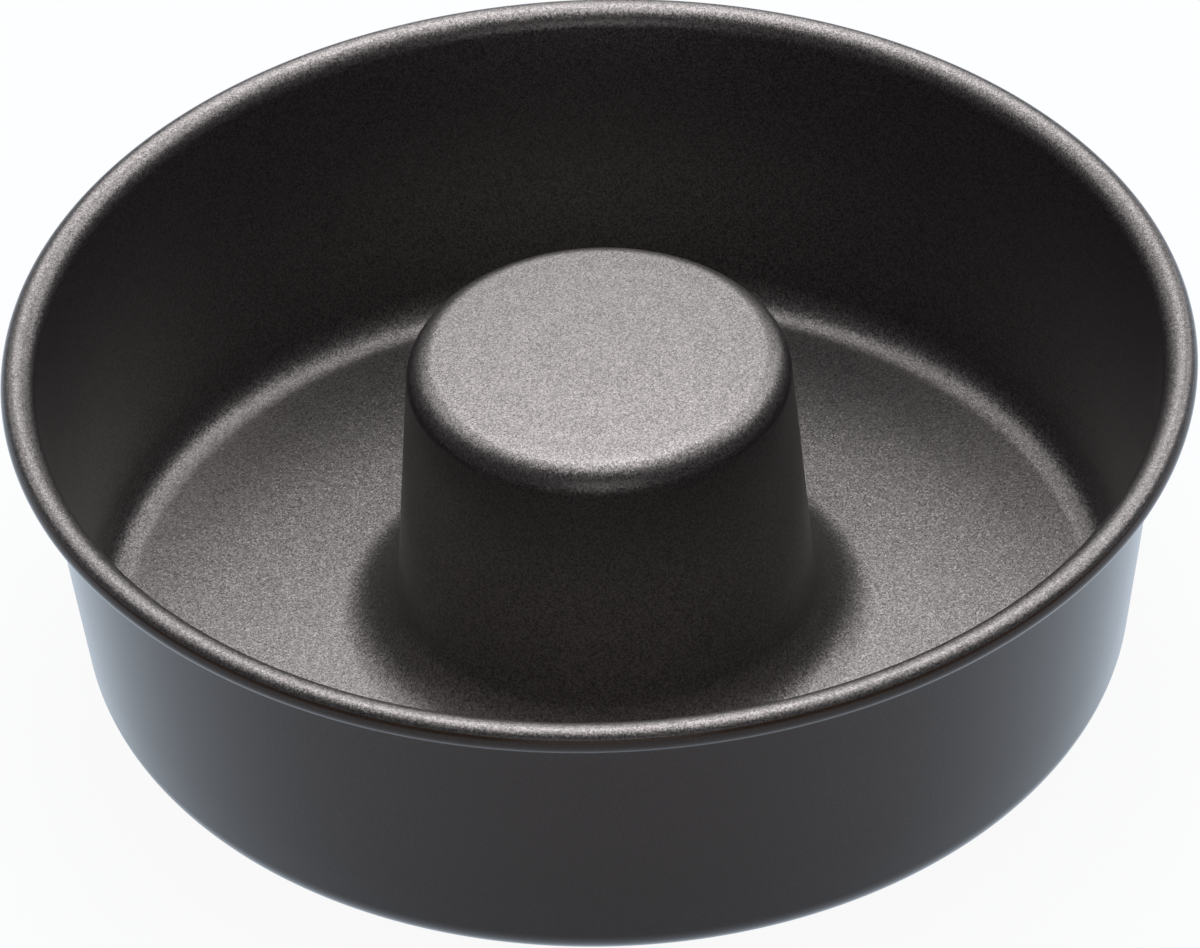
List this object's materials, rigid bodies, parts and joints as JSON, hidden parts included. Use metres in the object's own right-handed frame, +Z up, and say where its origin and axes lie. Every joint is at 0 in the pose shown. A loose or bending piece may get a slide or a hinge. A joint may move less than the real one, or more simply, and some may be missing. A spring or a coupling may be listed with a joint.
{
  "type": "savarin mould",
  "caption": "Ring-shaped baking mould of coated pressed steel: flat ring floor, sloping outer wall, closed flat-topped cone in the middle and a rim rolled round a wire.",
  "frame": {"origin": "on the axis of the mould, in the plane that the ring floor rests on", "axes": "+Z up along the axis of the mould, towards its open mouth; the mould is round, so +X and +Y are any two square directions"},
  "size_m": [0.25, 0.25, 0.073],
  "materials": {
    "nonstick_steel": "satin metallic non-stick coating, fine sparkling grain",
    "wire_steel": "drawn steel wire, lightly scored along its length"
  },
  "bodies": {
    "root": {"pan_shell": "nonstick_steel", "rim_wire": "wire_steel"}
  },
  "joints": []
}
